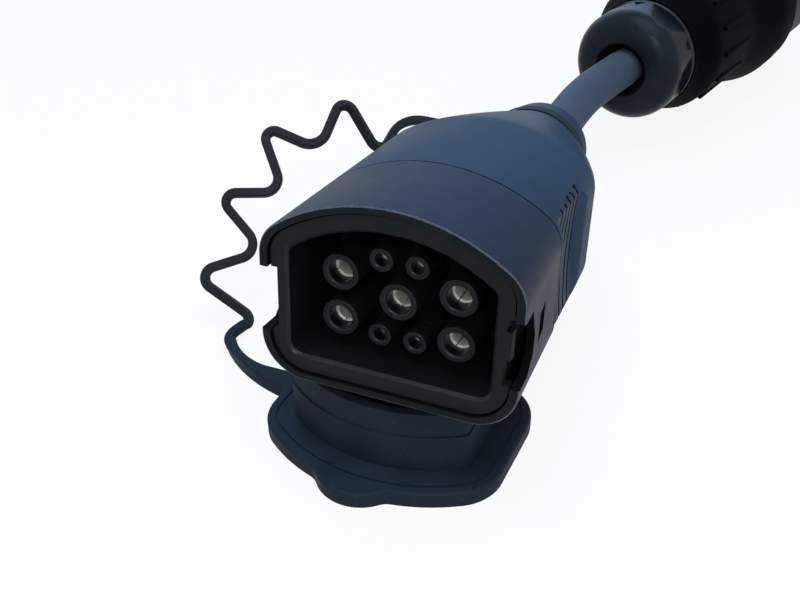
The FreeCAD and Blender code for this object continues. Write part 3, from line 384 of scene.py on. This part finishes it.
# Plated or brushed metal with fine turning marks and a few dull patches
def platedMetal(name, look):
    t = Tree(name)
    patches = t.noise(look["patch"], 4, 0.6)
    t.join(t.ramp(patches, [(0.3, look["dark"]), (0.7, look["light"])]), t.shader.inputs["Base Color"])
    t.shader.inputs["Metallic"].default_value = 1.0
    t.join(t.span(patches, look["smooth"], look["rough"]), t.shader.inputs["Roughness"])
    marks = t.noise(look["marks"], 2, 0.5, t.placed(look["along"]))
    t.join(t.bump(marks, look["depth"], 0.4), t.shader.inputs["Normal"])
    return t.mat


contactLook = {
    "dark": (0.86, 0.85, 0.82), "light": (0.96, 0.95, 0.93), "patch": 420, "smooth": 0.48, "rough": 0.62,
    "marks": 1500, "along": (1, 6, 1), "depth": 0.00002,
}
pinLook = dict(
    contactLook, dark=(0.52, 0.51, 0.48), light=(0.70, 0.69, 0.66), patch=160, along=(1, 5, 1),
    smooth=0.20, rough=0.34,
)
screwLook = dict(
    contactLook, dark=(0.40, 0.40, 0.41), light=(0.58, 0.58, 0.59), patch=500, smooth=0.28, rough=0.42,
)

finishes = {
    "hood_plastic": mouldedPlastic("hoodPlastic", hoodLook),
    "cover_plastic": mouldedPlastic("coverPlastic", coverLook),
    "insert_plastic": mouldedPlastic("insertPlastic", insertLook),
    "inner_plastic": mouldedPlastic("innerPlastic", innerLook),
    "nut_plastic": mouldedPlastic("nutPlastic", nutLook),
    "body_plastic": mouldedPlastic("bodyPlastic", bodyLook),
    "shroud_plastic": mouldedPlastic("shroudPlastic", shroudLook),
    "cap_rubber": mouldedPlastic("capRubber", mouldingLook),
    "relief_rubber": mouldedPlastic("reliefRubber", reliefLook),
    "seal_rubber": mouldedPlastic("sealRubber", sealLook),
    "cable_jacket": mouldedPlastic("cableJacket", jacketLook),
    "core_insulation": mouldedPlastic("coreInsulation", coreLook),
    "board": mouldedPlastic("codingBoard", boardLook),
    "contact_metal": platedMetal("contactMetal", contactLook),
    "pin_metal": platedMetal("pinMetal", pinLook),
    "screw_steel": platedMetal("screwSteel", screwLook),
}
slotOf = {row["node"]: row["material_slot"] for row in frame["record"]["subparts"]}
for name, obj in nodes.items():
    obj.data.materials.clear()
    obj.data.materials.append(finishes[slotOf[name]])
print("materials are on", len(nodes), "nodes")


# A copy of a solid, with its loose triangles joined
def mergedCopy(name, node):
    copy = nodes[node].copy()
    copy.data = nodes[node].data.copy()
    copy.name = name
    for key in list(copy.keys()):
        del copy[key]
    bpy.context.scene.collection.objects.link(copy)
    copy.parent = None
    pick(copy)
    bpy.ops.mesh.customdata_custom_splitnormals_clear()
    bpy.ops.object.mode_set(mode="EDIT")
    bpy.ops.mesh.select_all(action="SELECT")
    bpy.ops.mesh.remove_doubles(threshold=0.000002)
    bpy.ops.object.mode_set(mode="OBJECT")
    return copy


softening = {"steps": 2, "angle": 35, "smooth": 40}


def softenEdges(obj, width, setting):
    pick(obj)
    bevel = obj.modifiers.new("edge", "BEVEL")
    bevel.width = width
    bevel.segments = setting["steps"]
    bevel.limit_method = "ANGLE"
    bevel.angle_limit = math.radians(setting["angle"])
    bevel.miter_outer = "MITER_ARC"
    bevel.material = 1  # marks the new faces, so the material can give them a painted highlight
    obj.data.materials.append(obj.data.materials[0])
    bpy.ops.object.modifier_apply(modifier=bevel.name)
    edge = obj.data.attributes.new("edge", "FLOAT", "FACE")
    for face in obj.data.polygons:
        edge.data[face.index].value = float(face.material_index)
        face.material_index = 0
    obj.data.materials.pop(index=1)
    bpy.ops.object.shade_smooth_by_angle(angle=math.radians(setting["smooth"]))
    even = obj.modifiers.new("even", "WEIGHTED_NORMAL")
    even.keep_sharp = True
    bpy.ops.object.modifier_apply(modifier=even.name)


# Where the two ends of the lead stand: the middle of the coupler's lip and of the nut's back face
coupler = {
    "place": (0.0051, -0.0172, 0.05196), "back": (0.01388, 0.99367, -0.11147),
    "across": (0.99990, -0.01396, 0.0), "rise": (0.00156, 0.11146, 0.99377),
}
gland = {"place": (0.0243, 0.2130, 0.0350), "back": (0.26387, 0.96456, 0.0)}
across, rise = Vector(coupler["across"]), Vector(coupler["rise"])

# How squarely a face looks forward or inward before it is marked, and how near a groove's faces lie
marking = {
    "inward": -0.3, "forward": -0.8, "rim": (-0.95, -0.25),
    "grooveSide": 0.0265, "grooveNear": 0.0008, "grooveDeep": 0.0014,
}


# In a groove of the grip: near its place along the coupler, narrow, and out at the side
def inGroove(mesh, face, away, centre, back, places):
    depth = (face.center - centre).dot(back)
    depths = [(mesh.vertices[v].co - centre).dot(back) for v in face.vertices]
    narrow = max(depths) - min(depths) < marking["grooveDeep"]
    near = any(abs(place - depth) < marking["grooveNear"] for place in places)
    return abs(away.dot(across)) > marking["grooveSide"] and near and narrow


# Marks for the material: faces that face the mating side, for a painted lit tone, rounded rims, for a painted
# highlight, and walls, gaps, bores and grooves, for painted shade
def markFaces(obj, setting):
    axis = setting.get("axis", coupler)
    centre, back = Vector(axis["place"]), Vector(axis["back"])
    rimLow, rimHigh = marking["rim"]
    mesh = obj.data
    front = mesh.attributes.new("front", "FLOAT", "FACE")
    inner = mesh.attributes.new("inner", "FLOAT", "FACE")
    edge = mesh.attributes["edge"]
    for face in mesh.polygons:
        away = face.center - centre
        depth = away.dot(back)
        away -= back * depth
        along, out = face.normal.dot(back), face.normal.dot(away.normalized())
        gaps = setting["gaps"]
        hidden = out < marking["inward"] or any(low < depth < high and out < most for low, high, most in gaps)
        if "mouth" in setting:
            hidden = away.length < setting["mouth"]
        if "bores" in setting:
            hidden = any((away - spot).length < reach for spot, reach in setting["bores"])
        if "grooves" in setting:
            hidden = hidden or inGroove(mesh, face, away, centre, back, setting["grooves"])
        forward = along < marking["forward"]
        # Forward faces near the mating face get the painted front tone
        atFace = depth < setting["faceEnd"]
        front.data[face.index].value = 1.0 if forward and atFace else 0.0
        inner.data[face.index].value = 1.0 if hidden and not (forward and atFace) else 0.0
        # Rounded rims at the face also get the painted highlight
        if rimLow < along < rimHigh and atFace:
            edge.data[face.index].value = 1.0


# The strap's corners from the cap's tab to the ring round the neck: as packed, and as its tighter waves stand
strapWaves = {
    "was": [
        (-0.05555, 0.0096, 0.0023), (-0.06495, 0.0159, 0.0029), (-0.05995, 0.0285, 0.0045),
        (-0.08465, 0.0253, 0.0194), (-0.05975, 0.0403, 0.0208), (-0.08435, 0.0448, 0.0382),
        (-0.05915, 0.0555, 0.0343), (-0.07595, 0.0660, 0.0564), (-0.05415, 0.0682, 0.0435),
        (-0.05395, 0.0861, 0.0620), (-0.04095, 0.0840, 0.0386), (-0.03915, 0.1030, 0.0447),
        (-0.00918, 0.10755, 0.04128),
    ],
    "now": {
        2: (-0.06123, 0.0285, 0.00277), 3: (-0.08057, 0.0253, 0.01771),
        4: (-0.06229, 0.0403, 0.02143), 5: (-0.08075, 0.0448, 0.03673),
        6: (-0.06163, 0.0555, 0.03506), 7: (-0.07426, 0.0660, 0.05262),
        8: (-0.05424, 0.0682, 0.04561), 9: (-0.05326, 0.0861, 0.05798),
        10: (-0.03985, 0.0840, 0.03849),
    },
    "share": 0.40, "tighter": 0.30,  # how much of a run its bend takes, as packed and now
    "reach": 0.0024,  # how near the strap's line a point of it lies
    "firstPart": 3,  # the tongue at the tab, before this part, stays as it is
}


# Straight runs and round bends through the corners
def strapParts(corners, shares):
    points = [Vector(c) for c in corners]
    parts, start = [], points[0]
    for before, corner, after, share in zip(points, points[1:], points[2:], shares):
        back, ahead = (before - corner).normalized(), (after - corner).normalized()
        half = (math.pi - back.angle(ahead)) / 2
        arm = share * min((before - corner).length, (after - corner).length)
        centre = corner + (back + ahead).normalized() * (arm / math.tan(half) / math.cos(half))
        parts.append((start, corner + back * arm, None))
        parts.append((corner + back * arm, corner + ahead * arm, centre))
        start = corner + ahead * arm
    return parts + [(start, points[-1], None)]


# The place and the way along a run or bend, at a share of it
def placeOn(part, share):
    first, last, centre = part
    if centre is None:
        return first.lerp(last, share), (last - first).normalized()
    arm = first - centre
    axis = arm.cross(last - centre).normalized()
    arm = Matrix.Rotation(arm.angle(last - centre) * share, 3, axis) @ arm
    return centre + arm, axis.cross(arm).normalized()


# The share of a run or bend that lies nearest to a point
def shareOf(part, point):
    first, last, centre = part
    if centre is None:
        run = last - first
        return min(1, max(0, (point - first).dot(run) / run.length_squared))
    arm = first - centre
    axis = arm.cross(last - centre).normalized()
    away = point - centre
    turn = math.atan2(axis.dot(arm.cross(away)), arm.dot(away))
    return min(1, max(0, turn / arm.angle(last - centre)))


def drawStrap(obj, setting):
    count = len(setting["was"]) - 2
    nowAt = [setting["now"].get(n, corner) for n, corner in enumerate(setting["was"])]
    shares = [setting["tighter"] if n + 1 in setting["now"] else setting["share"] for n in range(count)]
    was = strapParts(setting["was"], [setting["share"]] * count)
    now = strapParts(nowAt, shares)
    firstPart = setting["firstPart"]
    moved = set()
    for vertex in obj.data.vertices:
        near = []
        for n in range(firstPart, len(was)):
            share = shareOf(was[n], vertex.co)
            near.append(((vertex.co - placeOn(was[n], share)[0]).length, n, share))
        distance, n, share = min(near)
        if distance < setting["reach"] and (n, share) != (firstPart, 0):
            oldSpot, oldWay = placeOn(was[n], share)
            newSpot, newWay = placeOn(now[n], share)
            vertex.co = newSpot + oldWay.rotation_difference(newWay) @ (vertex.co - oldSpot)
            moved.add(vertex.index)
    # Faces the redrawing moved are marked for the strap's own tone
    strapTone = obj.data.attributes.new("strapTone", "FLOAT", "FACE")
    for face in obj.data.polygons:
        strapTone.data[face.index].value = 1.0 if moved.issuperset(face.vertices) else 0.0
    print("strap redrawn,", len(moved), "points")


def dress(name, setting):
    piece = mergedCopy(name, setting["node"])
    if "waves" in setting:
        drawStrap(piece, setting["waves"])
    softenEdges(piece, setting["edge"], softening)
    if "faceEnd" in setting:
        markFaces(piece, setting)
    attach(piece, "root")
    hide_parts(setting["node"])
    print(name, len(piece.data.polygons), "faces")


# For each piece: its solid, its softened edges, and what is marked. A gap is the depth where it starts and
# ends behind the lip, and how far outward its faces may look; its faces get painted shade.
hoodShell = {
    "node": "front_hood", "edge": 0.00032, "faceEnd": 0.004,
    "gaps": [(0.0075, 0.030, 0.35), (0.030, 0.060, 0.6)],
}
grip = {"firstGroove": 0.0424, "groovePitch": 0.0041, "grooves": 5}
coverShell = {
    "node": "rear_cover", "edge": 0.00030, "faceEnd": 0.0,
    "gaps": [(0.030, 0.0415, 0.4), (0.0415, 0.0615, 0.55)],
    "grooves": [grip["firstGroove"] + grip["groovePitch"] * n for n in range(grip["grooves"])],
}

# The bores' places across and up from the middle of the face, and how far round each gets painted shade
contactPlaces = {
    "powerSide": 0.01576, "powerLow": -0.00817, "powerHigh": 0.00487, "powerReach": 0.0043,
    "signalSide": 0.00479, "signalRise": 0.01062, "signalReach": 0.0024,
}


def boreMarks(setting):
    side, signalSide, signalRise = setting["powerSide"], setting["signalSide"], setting["signalRise"]
    power = [(x, z) for x in (-side, side) for z in (setting["powerLow"], setting["powerHigh"])]
    power.append((0.0, 0.0))
    signal = [(x, z) for x in (-signalSide, signalSide) for z in (-signalRise, signalRise)]
    marks = [(across * x + rise * z, setting["powerReach"]) for x, z in power]
    return marks + [(across * x + rise * z, setting["signalReach"]) for x, z in signal]


socketBlock = {
    "node": "socket_insert", "edge": 0.00014, "faceEnd": 0.009, "gaps": [],
    "bores": boreMarks(contactPlaces),
}
capMoulding = {"node": "dust_cap", "edge": 0.00030, "waves": strapWaves}
relief = {"firstGap": 0.1268, "gapEnd": 0.12795, "pitch": 0.0037, "gaps": 3, "anyWay": 2}  # faces of any way, all given painted shade
reliefSleeve = {
    "node": "strain_relief", "edge": 0.00022, "faceEnd": 0.0,
    "gaps": [
        (relief["firstGap"] + relief["pitch"] * n, relief["gapEnd"] + relief["pitch"] * n, relief["anyWay"])
        for n in range(relief["gaps"])
    ],
}
glandDome = {
    "node": "gland_nut", "edge": 0.00035, "faceEnd": -1.0, "gaps": [], "axis": gland, "mouth": 0.0110,
}
plugHousing = {"node": "plug_body", "edge": 0.00035}
plugCollar = {"node": "plug_shroud", "edge": 0.00035}

dress("hoodShell", hoodShell)
dress("coverShell", coverShell)
dress("socketBlock", socketBlock)
dress("capMoulding", capMoulding)
dress("reliefSleeve", reliefSleeve)
dress("glandDome", glandDome)
dress("plugHousing", plugHousing)
dress("plugCollar", plugCollar)
print("pieces are dressed")
